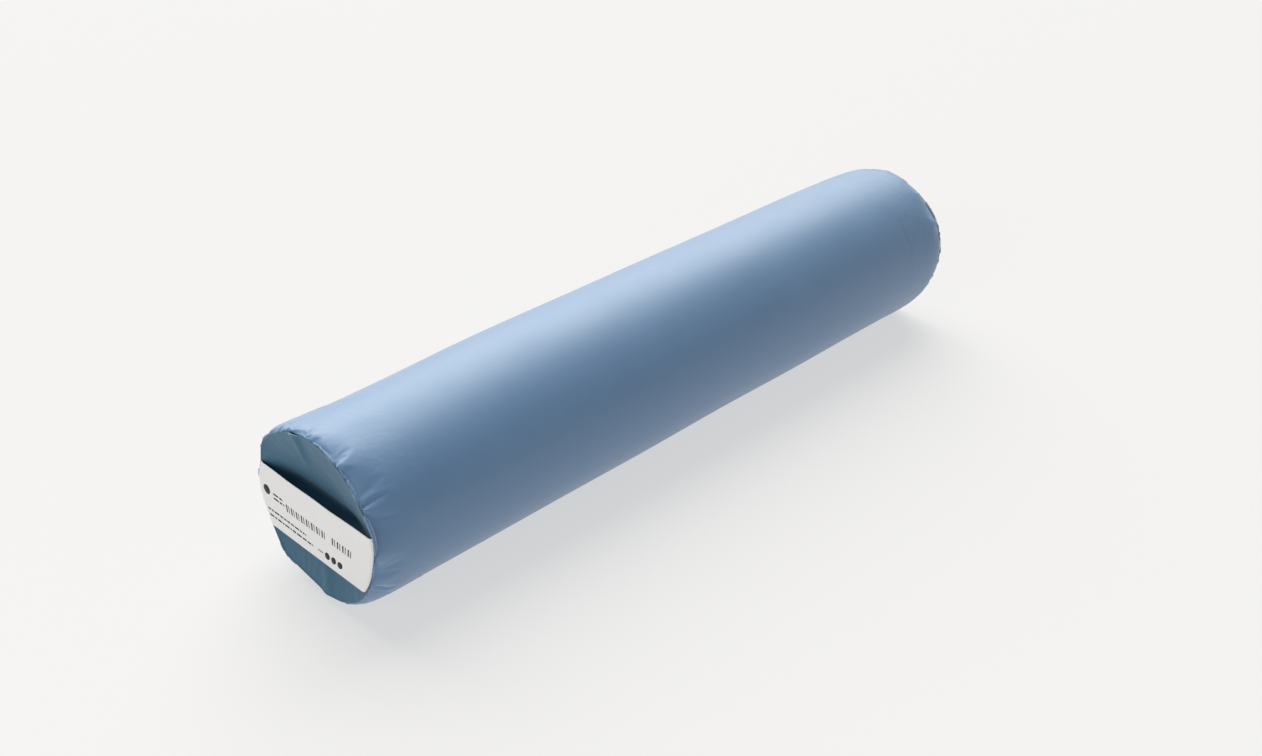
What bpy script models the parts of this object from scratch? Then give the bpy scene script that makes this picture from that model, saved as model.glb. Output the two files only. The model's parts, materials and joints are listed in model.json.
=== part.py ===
"""A small bolster pillow: a round foam roll in a zipped fabric cover, lying on its side.

The roll lies along X and rests on Z = 0, with the origin under its middle. The end with the label faces -X.
The closing zip runs along the back of the roll, on the +Y side. Its pieces are built in a frame of their own,
whose origin is on the roll's axis: X still runs along the roll, Y goes down round the roll and Z points out of
it, through the middle of the zip. Lengths are in metres.
"""

import math

import bmesh
import bpy
from mathutils import Vector

# The roll
ROLL_LENGTH = 0.432
ROLL_DIAMETER = 0.092
REST_FLAT_DEPTH = 0.002  # how far the table presses the round section flat
SHOULDER_LENGTH = 0.012  # the rounded stretch beside each end seam
SHOULDER_DROP = 0.003
CLEARANCE = 0.0003  # between pieces that touch
ARC_STEPS = 60

# The cover
FABRIC = 0.0005
HEM_LENGTH = 0.008  # seam allowance that is turned in at each end
END_RECESS = 0.008  # how far the middle of an end disc sinks in
SEAM_THREAD = 0.0004  # thread diameters
TOPSTITCH_THREAD = 0.0004
DISC_STEPS = 4
SHOULDER_STEPS = 4

# The label
LABEL_THICKNESS = 0.0004
LABEL_TOP = 0.0115  # above the roll's axis
LABEL_BOTTOM = -0.0215
LABEL_END_STEPS = 6

# The foam core
CORE_EDGE_ROUNDING = 0.003
CORE_EDGE_STEPS = 3

# The zip, a size 5 coil
ZIP_ANGLE = math.radians(20)  # its place round the roll, above the horizontal at the back
CLOSING_SEAM_LENGTH = 0.038  # sewn shut, from each end seam to the zip's opening
OPENING_WIDTH = 0.011
TAPE_WIDTH = 0.0145
TAPE_THICKNESS = 0.0006
TAPE_TAIL = 0.012  # tape that runs on past the opening, under the cover
TAPE_STEPS = 5
CHAIN_GAP = 0.0012  # between the two coils, where the slider's post passes
COIL_WIDTH = 0.0024
COIL_HEIGHT = 0.0016
COIL_ROUNDING = 0.0005
TOPSTITCH_INSET = 0.002  # from the opening's edge
TOPSTITCH_CORNER = 0.002
CORNER_STEPS = 3
STOP_SETBACK = 0.003
TOP_STOP_LENGTH = 0.003
BOTTOM_STOP_LENGTH = 0.004
STOP_WALL = 0.0003
STOP_LEG = 0.0007

# The slider and its pull
SLIDER_LENGTH = 0.014
SLIDER_FLANGE = 0.001
SLIDER_FLARE = 0.0006  # how much wider the front is than the back
OUTER_PLATE = 0.001
INNER_PLATE = 0.0009
POST_WIDTH = 0.0006
POST_LENGTH = 0.0035
POST_SETBACK = 0.001
BAIL_WIDTH = 0.0018
BAIL_HOLE_LENGTH = 0.0026
BAIL_WALL = 0.0013
BAIL_SLOPE = 0.0006
BAIL_ROOF = 0.0009
PULL_LENGTH = 0.024
PULL_WIDTH = 0.0065
PULL_THICKNESS = 0.001
PULL_SIDE_PLAY = 0.0004
PULL_HOLE_DIAMETER = 0.0025
PULL_HOLE_SETBACK = 0.0035
PULL_DROOP = math.radians(1.5)  # until the pull lies on the slider's back edge
PULL_END_STEPS = 10
BOOLEAN_OVERLAP = 0.0002

# Worked out from the sizes above
ROLL_RADIUS = ROLL_DIAMETER / 2
END_X = ROLL_LENGTH / 2
AXIS_HEIGHT = ROLL_RADIUS - REST_FLAT_DEPTH
FLAT_HALF_ANGLE = math.acos(AXIS_HEIGHT / ROLL_RADIUS)
SHOULDER_X = END_X - SHOULDER_LENGTH
TUBE_END_X = END_X - CLEARANCE
HEM_X = TUBE_END_X - HEM_LENGTH
OPENING_X = END_X - CLOSING_SEAM_LENGTH

HEM_INSET = 2 * FABRIC
SKIRT_OUTER_INSET = HEM_INSET + CLEARANCE
SKIRT_INNER_INSET = SKIRT_OUTER_INSET + FABRIC
RIM_RADIUS = ROLL_RADIUS - SHOULDER_DROP - SKIRT_OUTER_INSET
CORE_END_X = min(END_X - END_RECESS - FABRIC, HEM_X) - CLEARANCE
SEAM_X = END_X + SEAM_THREAD / 2
SEAM_RADIUS = RIM_RADIUS + CLEARANCE + SEAM_THREAD
STITCH_RADIUS = ROLL_RADIUS + TOPSTITCH_THREAD / 2 + CLEARANCE / 3

TAPE_OUTER = ROLL_RADIUS - FABRIC - CLEARANCE
TAPE_INNER = TAPE_OUTER - TAPE_THICKNESS
TAPE_X = OPENING_X + TAPE_TAIL
COIL_BASE = TAPE_OUTER + CLEARANCE
COIL_TOP = COIL_BASE + COIL_HEIGHT
COIL_NEAR = CHAIN_GAP / 2
COIL_FAR = COIL_NEAR + COIL_WIDTH
STOP_OUTER_X = OPENING_X - STOP_SETBACK
TOP_STOP_X = -(STOP_OUTER_X - TOP_STOP_LENGTH)
BOTTOM_STOP_X = STOP_OUTER_X - BOTTOM_STOP_LENGTH

SLIDER_BACK_HALF = COIL_FAR + CLEARANCE + SLIDER_FLANGE
SLIDER_FRONT_HALF = SLIDER_BACK_HALF + SLIDER_FLARE
SLIDER_X = TOP_STOP_X + CLEARANCE + SLIDER_LENGTH / 2
OUTER_PLATE_BASE = COIL_TOP + CLEARANCE
OUTER_PLATE_TOP = OUTER_PLATE_BASE + OUTER_PLATE
TAPE_SAG = TAPE_INNER - math.sqrt(TAPE_INNER**2 - SLIDER_FRONT_HALF**2)
INNER_PLATE_TOP = TAPE_INNER - TAPE_SAG - CLEARANCE
INNER_PLATE_BASE = INNER_PLATE_TOP - INNER_PLATE
CHANNEL_FLOOR = INNER_PLATE_BASE - CLEARANCE
PULL_HEIGHT = OUTER_PLATE_TOP + PULL_THICKNESS / 2 + 1.5 * CLEARANCE
PULL_SWEEP = PULL_THICKNESS / math.sqrt(2)
BAIL_HOLE_TOP = PULL_HEIGHT + PULL_SWEEP + CLEARANCE
BAIL_TOP = BAIL_HOLE_TOP + BAIL_ROOF
BAIL_HALF_LENGTH = BAIL_HOLE_LENGTH / 2 + BAIL_WALL + BAIL_SLOPE
PULL_WINDOW_X = BAIL_HALF_LENGTH + 2 * CLEARANCE

FABRIC_BLUE = (0.13, 0.22, 0.36)
THREAD_BLUE = (0.10, 0.17, 0.29)
LABEL_WHITE = (0.80, 0.80, 0.80)
FOAM_CREAM = (0.78, 0.72, 0.56)
TAPE_BLUE = (0.09, 0.15, 0.26)
COIL_BLUE = (0.07, 0.12, 0.22)
NICKEL = (0.62, 0.61, 0.58)


def make_material(name, color, roughness, metallic=0.0):
    material = bpy.data.materials.new(name)
    material.use_nodes = True
    shader = material.node_tree.nodes["Principled BSDF"]
    shader.inputs["Base Color"].default_value = (*color, 1.0)
    shader.inputs["Roughness"].default_value = roughness
    shader.inputs["Metallic"].default_value = metallic
    return material


def add_object(name, mesh, material=None, parent=None):
    obj = bpy.data.objects.new(name, mesh)
    if material:
        mesh.materials.append(material)
    obj.parent = parent
    bpy.context.scene.collection.objects.link(obj)
    return obj


def mesh_object(name, shape, material, parent=None, smooth_below=None):
    """Turns a bmesh into an object whose faces point out, smooth across edges under the given angle."""
    bmesh.ops.recalc_face_normals(shape, faces=shape.faces)
    mesh = bpy.data.meshes.new(name)
    shape.to_mesh(mesh)
    shape.free()
    if smooth_below:
        mesh.shade_smooth()
        mesh.set_sharp_from_angle(angle=smooth_below)
    return add_object(name, mesh, material, parent)


def prism(name, outline, low, high, material=None, parent=None):
    """Extrudes an outline, a list of vectors in one plane, from its offset low to its offset high."""
    shape = bmesh.new()
    face = shape.faces.new([shape.verts.new(point + low) for point in outline])
    extruded = bmesh.ops.extrude_face_region(shape, geom=[face])
    moved = [v for v in extruded["geom"] if isinstance(v, bmesh.types.BMVert)]
    bmesh.ops.translate(shape, verts=moved, vec=high - low)
    return mesh_object(name, shape, material, parent)


def block(name, x_span, y_span, z_span, material=None, parent=None):
    corners = [Vector((x, y, 0)) for x, y in zip(sorted(x_span * 2), [*y_span, *y_span[::-1]])]
    return prism(name, corners, Vector((0, 0, z_span[0])), Vector((0, 0, z_span[1])), material, parent)


def boolean(target, other, operation):
    """Joins or cuts target with a helper object, which isn't itself a piece."""
    modifier = target.modifiers.new(other.name, "BOOLEAN")
    modifier.operation = operation
    modifier.solver = "EXACT"
    modifier.object = other
    other.hide_render = True
    other.display_type = "WIRE"


def envelope(x):
    """The roll's outer radius at x: full along the body, and dropping towards each end seam."""
    past = max(0.0, abs(x) - SHOULDER_X) / SHOULDER_LENGTH
    return ROLL_RADIUS - SHOULDER_DROP * past**2


def section(x, radius):
    """A loop of the roll's section: an arc about the axis, closed below by the flat that it rests on."""
    first = FLAT_HALF_ANGLE - math.pi / 2
    sweep = 2 * math.pi - 2 * FLAT_HALF_ANGLE
    angles = [first + sweep * step / ARC_STEPS for step in range(ARC_STEPS + 1)]
    return [Vector((x, radius * math.cos(a), AXIS_HEIGHT + radius * math.sin(a))) for a in angles]


def loft(name, profile, material, closed=False):
    """Skins the roll's section through a profile of (x, radius) pairs, closing it on itself or with two caps."""
    shape = bmesh.new()
    loops = [[shape.verts.new(point) for point in section(x, radius)] for x, radius in profile]
    following = loops[1:] + loops[:1] if closed else loops[1:]
    for loop, after in zip(loops, following):
        for i in range(len(loop)):
            shape.faces.new((loop[i - 1], loop[i], after[i], after[i - 1]))
    if not closed:
        shape.faces.new(loops[0])
        shape.faces.new(loops[-1])
    return mesh_object(name, shape, material, smooth_below=math.radians(35))


def shoulder_stations(end_x):
    """Places along +X from the shoulder's start to end_x."""
    return [SHOULDER_X + (end_x - SHOULDER_X) * step / SHOULDER_STEPS for step in range(SHOULDER_STEPS + 1)]


def make_cover_body(material):
    """The wrapped panel: a fabric tube with its seam allowance turned in at both ends."""
    outer = shoulder_stations(TUBE_END_X)
    hem = [x for x in reversed(outer) if x > HEM_X] + [HEM_X]
    half = [(x, envelope(x)) for x in outer]
    half += [(x, envelope(x) - HEM_INSET) for x in hem]
    half += [(HEM_X, envelope(HEM_X) - FABRIC), (SHOULDER_X, envelope(SHOULDER_X) - FABRIC)]
    other_half = [(-x, radius) for x, radius in reversed(half)]
    return loft("cover_body", half + other_half, material, closed=True)


def make_end_disc(name, side, material):
    """A round end panel: it sinks in a little, and its seam allowance is turned in as a skirt inside the tube."""
    skirt_x = [HEM_X, (HEM_X + TUBE_END_X) / 2, TUBE_END_X]
    radii = [RIM_RADIUS * step / DISC_STEPS for step in range(1, DISC_STEPS + 1)]
    face = [(END_X - END_RECESS * (1 - (radius / RIM_RADIUS) ** 2), radius) for radius in radii]
    skirt = [(x, envelope(x) - SKIRT_OUTER_INSET) for x in reversed(skirt_x)]
    lining = [(x, envelope(x) - SKIRT_INNER_INSET) for x in skirt_x[:-1]]
    back = [(x - FABRIC, radius) for x, radius in reversed(face[:-1])]
    back.insert(0, (END_X - FABRIC, RIM_RADIUS - FABRIC))
    profile = [(side * x, radius) for x, radius in face + skirt + lining + back]
    return loft(name, profile, material)


def make_core(material):
    """The foam roll, a plain cylinder with rounded edges that ends short of the turned-in allowances."""
    core_radius = envelope(CORE_END_X) - FABRIC - CLEARANCE
    half = []
    for step in range(CORE_EDGE_STEPS + 1):
        turn = math.pi / 2 * step / CORE_EDGE_STEPS
        x = CORE_END_X - CORE_EDGE_ROUNDING * (1 - math.sin(turn))
        half.append((x, core_radius - CORE_EDGE_ROUNDING * (1 - math.cos(turn))))
    other_half = [(-x, radius) for x, radius in reversed(half)]
    return loft("foam_core", other_half + half, material)


def make_label(material):
    """A band across the end, cut off along the seam at both sides."""
    reach = RIM_RADIUS - CLEARANCE
    angles = [math.asin(height / reach) for height in (LABEL_BOTTOM, LABEL_TOP)]
    turns = [angles[0] + (angles[1] - angles[0]) * step / LABEL_END_STEPS for step in range(LABEL_END_STEPS + 1)]
    right = [Vector((0, reach * math.cos(a), AXIS_HEIGHT + reach * math.sin(a))) for a in turns]
    left = [Vector((0, -point.y, point.z)) for point in reversed(right)]
    near = -(END_X + CLEARANCE)
    low = Vector((near - LABEL_THICKNESS, 0, 0))
    return prism("label_band", right + left, low, Vector((near, 0, 0)), material)


def make_thread(name, points, diameter, material, closed, parent=None):
    curve = bpy.data.curves.new(name, "CURVE")
    curve.dimensions = "3D"
    curve.bevel_depth = diameter / 2
    curve.bevel_resolution = 1
    curve.use_fill_caps = not closed
    spline = curve.splines.new("POLY")
    spline.points.add(len(points) - 1)
    for target, point in zip(spline.points, points):
        target.co = (*point, 1)
    spline.use_cyclic_u = closed
    return add_object(name, curve, material, parent)


def make_end_thread(name, side, material):
    return make_thread(name, section(side * SEAM_X, SEAM_RADIUS), SEAM_THREAD, material, closed=True)


def around(x, y, radius):
    """A point of the zip's frame, at a distance y round a circle of this radius."""
    turn = y / radius
    return Vector((x, radius * math.sin(turn), radius * math.cos(turn)))


def make_topstitch(material, parent):
    """One line of stitches round the zip's opening, through the cover and both tapes."""
    far_x = OPENING_X + TOPSTITCH_INSET
    far_y = OPENING_WIDTH / 2 + TOPSTITCH_INSET
    corner_y = far_y - TOPSTITCH_CORNER
    end = [(far_x, corner_y * (2 * step / CORNER_STEPS - 1)) for step in range(CORNER_STEPS + 1)]
    for step in range(1, CORNER_STEPS + 1):
        turn = math.pi / 2 * step / CORNER_STEPS
        end.append((far_x - TOPSTITCH_CORNER * (1 - math.cos(turn)), corner_y + TOPSTITCH_CORNER * math.sin(turn)))
    start = [(x, -y) for x, y in reversed(end[CORNER_STEPS + 1 :])]
    half = start + end
    loop = half + [(-x, -y) for x, y in half]
    points = [around(x, y, STITCH_RADIUS) for x, y in loop]
    return make_thread("zip_topstitch", points, TOPSTITCH_THREAD, material, True, parent)


def make_closing_thread(name, side, material, parent):
    """The stitches that shut the cover between the zip and an end seam."""
    start = OPENING_X + 2 * TOPSTITCH_INSET
    stations = [start, *shoulder_stations(TUBE_END_X)]
    points = [Vector((side * x, 0, STITCH_RADIUS + envelope(x) - ROLL_RADIUS)) for x in stations]
    return make_thread(name, points, TOPSTITCH_THREAD, material, False, parent)


def arc_bar(name, half_length, radii, spread, material=None, parent=None):
    """A bar along X with a curved flat section, between two radii and from spread[0] to spread[1] round the roll."""
    ys = [spread[0] + (spread[1] - spread[0]) * step / TAPE_STEPS for step in range(TAPE_STEPS + 1)]
    turns = [y / radii[1] for y in ys]
    outer = [Vector((0, radii[1] * math.sin(t), radii[1] * math.cos(t))) for t in turns]
    inner = [Vector((0, radii[0] * math.sin(t), radii[0] * math.cos(t))) for t in reversed(turns)]
    low, high = Vector((-half_length, 0, 0)), Vector((half_length, 0, 0))
    return prism(name, outer + inner, low, high, material, parent)


def make_coil(name, side, material, parent):
    """One coil's envelope, a bar with rounded outer edges, on its tape's edge."""
    near, far = COIL_NEAR, COIL_FAR
    low, high, round_off = COIL_BASE, COIL_TOP, COIL_ROUNDING
    corners = [(near, low), (far, low), (far, high - round_off), (far - round_off, high)]
    corners += [(near + round_off, high), (near, high - round_off)]
    outline = [Vector((0, side * y, z)) for y, z in corners]
    ends = Vector((TOP_STOP_X + CLEARANCE, 0, 0)), Vector((BOTTOM_STOP_X - CLEARANCE, 0, 0))
    return prism(name, outline, *ends, material, parent)


def make_top_stop(name, side, material, parent):
    """A clip folded round one tape's edge, beside the end of its coil."""
    web_near = COIL_NEAR - CLEARANCE / 2 - STOP_WALL
    web_far = web_near + STOP_WALL
    leg_top = TAPE_INNER - CLEARANCE
    corners = [(web_near, leg_top - STOP_LEG), (COIL_FAR, leg_top - STOP_LEG), (COIL_FAR, leg_top)]
    corners += [(web_far, leg_top), (web_far, COIL_BASE), (COIL_FAR, COIL_BASE)]
    corners += [(COIL_FAR, COIL_TOP), (web_near, COIL_TOP)]
    outline = [Vector((0, side * y, z)) for y, z in corners]
    ends = Vector((-STOP_OUTER_X, 0, 0)), Vector((TOP_STOP_X, 0, 0))
    return prism(name, outline, *ends, material, parent)


def make_bottom_stop(material, parent):
    """A clip through the middle of the chain that holds both tapes together."""
    leg_top = TAPE_INNER - CLEARANCE
    web = COIL_NEAR - CLEARANCE
    half = [(COIL_FAR, leg_top - STOP_LEG), (COIL_FAR, leg_top), (web, leg_top)]
    half += [(web, COIL_BASE), (COIL_FAR, COIL_BASE), (COIL_FAR, COIL_TOP)]
    corners = half + [(-y, z) for y, z in reversed(half)]
    outline = [Vector((0, y, z)) for y, z in corners]
    ends = Vector((BOTTOM_STOP_X, 0, 0)), Vector((STOP_OUTER_X, 0, 0))
    return prism("zip_bottom_stop", outline, *ends, material, parent)


def slider_outline():
    """The plates' outline: rounded off at the ends, and flared at the front, towards -X."""
    half = SLIDER_LENGTH / 2
    back, front = SLIDER_BACK_HALF, SLIDER_FRONT_HALF
    side = [(half, back * 0.7), (half * 0.85, back), (-half * 0.4, back), (-half * 0.7, front)]
    side += [(-half * 0.9, front * 0.85), (-half, front * 0.6)]
    return [Vector((x, y, 0)) for x, y in side + [(x, -y) for x, y in reversed(side)]]


def make_slider(material, parent):
    """The slider: two plates joined by a post between the coils, flanges beside them and a bail on top."""
    outline = slider_outline()
    slider = prism(
        "zip_slider", outline, Vector((0, 0, OUTER_PLATE_BASE)), Vector((0, 0, OUTER_PLATE_TOP)), material, parent
    )
    slider.location.x = SLIDER_X
    inner = prism(
        "slider_inner_plate",
        outline,
        Vector((0, 0, INNER_PLATE_BASE)),
        Vector((0, 0, INNER_PLATE_TOP)),
        parent=slider,
    )
    front = POST_SETBACK - SLIDER_LENGTH / 2
    post = block(
        "slider_post",
        (front, front + POST_LENGTH),
        (-POST_WIDTH / 2, POST_WIDTH / 2),
        (INNER_PLATE_TOP - BOOLEAN_OVERLAP, OUTER_PLATE_BASE + BOOLEAN_OVERLAP),
        parent=slider,
    )
    helpers = [inner, post]
    for side, word in ((-1, "upper"), (1, "lower")):
        flange = block(
            f"slider_flange_{word}",
            (-SLIDER_LENGTH * 0.33, SLIDER_LENGTH * 0.4),
            sorted((side * (COIL_FAR + CLEARANCE), side * (SLIDER_BACK_HALF - BOOLEAN_OVERLAP / 2))),
            (COIL_BASE + CLEARANCE / 3, OUTER_PLATE_BASE + BOOLEAN_OVERLAP),
            parent=slider,
        )
        helpers.append(flange)
    foot = BAIL_HALF_LENGTH
    hole = BAIL_HOLE_LENGTH / 2
    base = OUTER_PLATE_TOP - BOOLEAN_OVERLAP
    corners = [(-foot, base), (-foot + BAIL_SLOPE, BAIL_TOP), (foot - BAIL_SLOPE, BAIL_TOP), (foot, base)]
    corners += [(hole, base), (hole, BAIL_HOLE_TOP), (-hole, BAIL_HOLE_TOP), (-hole, base)]
    bail = prism(
        "slider_bail",
        [Vector((x, 0, z)) for x, z in corners],
        Vector((0, -BAIL_WIDTH / 2, 0)),
        Vector((0, BAIL_WIDTH / 2, 0)),
        parent=slider,
    )
    for helper in [*helpers, bail]:
        boolean(slider, helper, "UNION")
    return slider


def make_pull(material, parent):
    """The pull: a flat tab whose cross bar turns in the slider's bail. Its origin is on that bar's axis."""
    half_width = PULL_WIDTH / 2
    bar = PULL_THICKNESS / 2
    round_x = PULL_LENGTH - half_width
    turns = [math.pi * (step / PULL_END_STEPS - 0.5) for step in range(PULL_END_STEPS + 1)]
    tip = [Vector((round_x + half_width * math.cos(t), half_width * math.sin(t), 0)) for t in turns]
    outline = [Vector((-bar, half_width, 0)), Vector((-bar, -half_width, 0)), *tip]
    half_up = Vector((0, 0, PULL_THICKNESS / 2))
    pull = prism("zip_pull", outline, -half_up, half_up, material, parent)
    pull.location = (SLIDER_X, 0, PULL_HEIGHT)
    pull.rotation_euler.y = PULL_DROOP
    window_half = BAIL_WIDTH / 2 + PULL_SIDE_PLAY
    window = block(
        "pull_window",
        (bar, PULL_WINDOW_X),
        (-window_half, window_half),
        (-PULL_THICKNESS, PULL_THICKNESS),
        parent=pull,
    )
    hole_x = PULL_LENGTH - PULL_HOLE_SETBACK
    hole_turns = [2 * math.pi * step / PULL_END_STEPS for step in range(PULL_END_STEPS)]
    hole_radius = PULL_HOLE_DIAMETER / 2
    rim = [Vector((hole_x + hole_radius * math.cos(t), hole_radius * math.sin(t), 0)) for t in hole_turns]
    hole = prism("pull_hole", rim, -2 * half_up, 2 * half_up, parent=pull)
    boolean(pull, window, "DIFFERENCE")
    boolean(pull, hole, "DIFFERENCE")
    return pull


def cut_opening(cover, parent):
    """The slot in the cover that the zip closes."""
    wall = (ROLL_RADIUS - 4 * FABRIC, ROLL_RADIUS + 4 * FABRIC)
    half_width = OPENING_WIDTH / 2
    cutter = arc_bar("opening_cutter", OPENING_X, wall, (-half_width, half_width), parent=parent)
    boolean(cover, cutter, "DIFFERENCE")


def cut_zip_hollow(core, parent):
    """Where the soft foam gives way: a shallow bed for the tapes, and a channel for the slider's inner plate."""
    half_bed = TAPE_WIDTH + COIL_NEAR + 2 * CLEARANCE
    bed = arc_bar(
        "tape_bed_cutter",
        TAPE_X + CLEARANCE,
        (TAPE_INNER - CLEARANCE, ROLL_RADIUS + FABRIC),
        (-half_bed, half_bed),
        parent=parent,
    )
    half_channel = SLIDER_FRONT_HALF + CLEARANCE
    channel = block(
        "slider_channel_cutter",
        (-OPENING_X, OPENING_X),
        (-half_channel, half_channel),
        (CHANNEL_FLOOR, ROLL_RADIUS),
        parent=parent,
    )
    boolean(core, bed, "DIFFERENCE")
    boolean(core, channel, "DIFFERENCE")


def main():
    for obj in list(bpy.data.objects):
        bpy.data.objects.remove(obj)
    fabric = make_material("blue_nylon_cover", FABRIC_BLUE, 0.6)
    thread = make_material("blue_polyester_thread", THREAD_BLUE, 0.7)
    label = make_material("white_satin_label", LABEL_WHITE, 0.5)
    foam = make_material("cream_polyurethane_foam", FOAM_CREAM, 0.95)
    tape = make_material("blue_polyester_tape", TAPE_BLUE, 0.8)
    coil = make_material("blue_nylon_coil", COIL_BLUE, 0.35)
    nickel = make_material("nickel_plated_zinc", NICKEL, 0.3, metallic=1.0)

    cover = make_cover_body(fabric)
    core = make_core(foam)
    make_label(label)
    for side, word in ((-1, "label"), (1, "plain")):
        make_end_disc(f"end_disc_{word}", side, fabric)
        make_end_thread(f"end_seam_thread_{word}", side, thread)

    zip_frame = add_object("zip_frame", None)
    zip_frame.location.z = AXIS_HEIGHT
    zip_frame.rotation_euler.x = ZIP_ANGLE - math.pi / 2
    make_topstitch(thread, zip_frame)
    for side, word in ((-1, "label"), (1, "plain")):
        make_closing_thread(f"closing_seam_thread_{word}", side, thread, zip_frame)
    for side, word in ((-1, "upper"), (1, "lower")):
        spread = sorted((side * COIL_NEAR, side * (COIL_NEAR + TAPE_WIDTH)))
        arc_bar(f"zip_tape_{word}", TAPE_X, (TAPE_INNER, TAPE_OUTER), spread, tape, zip_frame)
        make_coil(f"zip_coil_{word}", side, coil, zip_frame)
        make_top_stop(f"zip_top_stop_{word}", side, nickel, zip_frame)
    make_bottom_stop(nickel, zip_frame)
    make_slider(nickel, zip_frame)
    make_pull(nickel, zip_frame)
    cut_opening(cover, zip_frame)
    cut_zip_hollow(core, zip_frame)


main()
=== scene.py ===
# %% [markdown]
# # A bolster pillow, in cells
#
# The object is a round foam roll in a sewn nylon cover. One end carries a white label band, and a coil
# zip closes the back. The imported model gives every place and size, and this script gives the looks: cloth
# that puckers at its seams, stitches, a coil made of wire, and a procedural material for each real one.

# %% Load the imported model
import json
import math

import bmesh
import bpy
import numpy as np
from mathutils import Matrix, Vector


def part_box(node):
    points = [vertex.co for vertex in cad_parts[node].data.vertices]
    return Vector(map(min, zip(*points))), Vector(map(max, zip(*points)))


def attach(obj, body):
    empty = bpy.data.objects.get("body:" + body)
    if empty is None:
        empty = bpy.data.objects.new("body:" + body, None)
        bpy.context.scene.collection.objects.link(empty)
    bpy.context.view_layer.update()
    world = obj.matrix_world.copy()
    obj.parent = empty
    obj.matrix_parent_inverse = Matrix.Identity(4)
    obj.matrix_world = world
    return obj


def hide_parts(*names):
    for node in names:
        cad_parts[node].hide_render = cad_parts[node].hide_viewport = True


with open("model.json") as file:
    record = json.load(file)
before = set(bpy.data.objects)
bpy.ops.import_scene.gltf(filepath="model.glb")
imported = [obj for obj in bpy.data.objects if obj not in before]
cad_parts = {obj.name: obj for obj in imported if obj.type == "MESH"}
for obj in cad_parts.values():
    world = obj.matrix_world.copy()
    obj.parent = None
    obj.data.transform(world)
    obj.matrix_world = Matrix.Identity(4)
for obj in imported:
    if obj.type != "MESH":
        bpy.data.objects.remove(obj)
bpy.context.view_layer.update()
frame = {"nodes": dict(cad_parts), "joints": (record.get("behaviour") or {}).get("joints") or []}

MM = 0.001
rng = np.random.default_rng(11)

# %% [markdown]
# ## The roll's own measures
#
# Nothing is measured twice: the radius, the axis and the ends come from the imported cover, and the zip's
# place round the roll comes from the hinge of its pull. Angles go round the axis, from the back of the
# roll over its top.

# %% Sizes read from the frame
cover_low, cover_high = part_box("cover_body")
RADIUS = (cover_high.y - cover_low.y) / 2
AXIS = cover_high.z - RADIUS
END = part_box("end_disc_plain")[1].x
JOINTS = {joint["name"]: joint for joint in frame["joints"]}
HINGE = Vector(JOINTS["pull_hinge"]["pos_m"])
ZIP_TURN = math.atan2(HINGE.z - AXIS, HINGE.y)
print(f"radius {RADIUS / MM:.1f} mm, axis at {AXIS / MM:.1f} mm, zip at {math.degrees(ZIP_TURN):.0f} degrees")

# %% [markdown]
# ## The zip's own frame
#
# The zip runs along the back of the roll and faces outwards at an angle, so its pieces are easiest to
# place in a frame of their own: along the roll, down round it, and out from its axis.

# %% In and out of the zip's frame
ZIP_AXES = np.array(
    [(1, 0, 0), (0, math.sin(ZIP_TURN), -math.cos(ZIP_TURN)), (0, math.cos(ZIP_TURN), math.sin(ZIP_TURN))]
)


def zip_extent(node):
    """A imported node's low and high corners in the zip's frame."""
    corners = np.array([vertex.co for vertex in frame["nodes"][node].data.vertices]) - (0, 0, AXIS)
    return (corners @ ZIP_AXES.T).min(axis=0), (corners @ ZIP_AXES.T).max(axis=0)


def on_roll(along, down, out):
    """Points from the place along the roll, arc length down from the zip, and distance from the axis."""
    turn = ZIP_TURN - np.asarray(down) / RADIUS
    return np.stack(np.broadcast_arrays(along, out * np.cos(turn), AXIS + out * np.sin(turn)), axis=-1)


OPENING_EDGE = 5.5 * MM
STITCHING_WIDTH = 0.4 * MM
STITCH_SETBACK = 2.0 * MM  # from the opening's end to the row of stitches across it
STITCH_LINE = zip_extent("zip_topstitch")[1][1] - STITCHING_WIDTH / 2
OPENING_END = zip_extent("zip_topstitch")[1][0] - STITCHING_WIDTH / 2 - STITCH_SETBACK
print(f"opening to {OPENING_END / MM:.1f} mm each way, stitched {STITCH_LINE / MM:.1f} mm from its middle")

# %% [markdown]
# ## Camera
#
# To show the label and the whole length of the roll at once, the camera stands near one end and looks
# down at about 30 degrees. It leans a little, as a hand-held one does, so its lean is a value too.

# %% The camera
CAMERA_PLACE = Vector((-0.5183, -0.4645, 0.4495))
CAMERA_HEADING, CAMERA_PITCH, CAMERA_LEAN = map(math.radians, (42.46, -31.23, 2.55))
CAMERA_LENS = 42.8

looking = Vector((1, 0, 0))
looking.rotate(Matrix.Rotation(-CAMERA_PITCH, 3, "Y"))
looking.rotate(Matrix.Rotation(CAMERA_HEADING, 3, "Z"))
camera = bpy.data.objects.new("camera", bpy.data.cameras.new("camera"))
camera.location = CAMERA_PLACE
camera.rotation_mode = "QUATERNION"
lean = Matrix.Rotation(CAMERA_LEAN, 3, "Z").to_quaternion()
camera.rotation_quaternion = looking.to_track_quat("-Z", "Y") @ lean
camera.data.lens = CAMERA_LENS
bpy.context.scene.collection.objects.link(camera)
bpy.context.scene.camera = camera
print("camera looks along", [round(c, 3) for c in looking])

# %% [markdown]
# ## Materials: two small tools
#
# Colours are written the way a swatch card gives them, as sRGB hex values, and one function turns them
# into the linear numbers that the shader works with. One more function adds a node with its settings and
# links.

# %% Colour and node tools
def linear(swatch):
    """An sRGB hex value as a linear colour."""
    parts = [int(swatch[i : i + 2], 16) / 255 for i in (1, 3, 5)]
    return [p / 12.92 if p <= 0.04045 else ((p + 0.055) / 1.055) ** 2.4 for p in parts] + [1.0]


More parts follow.
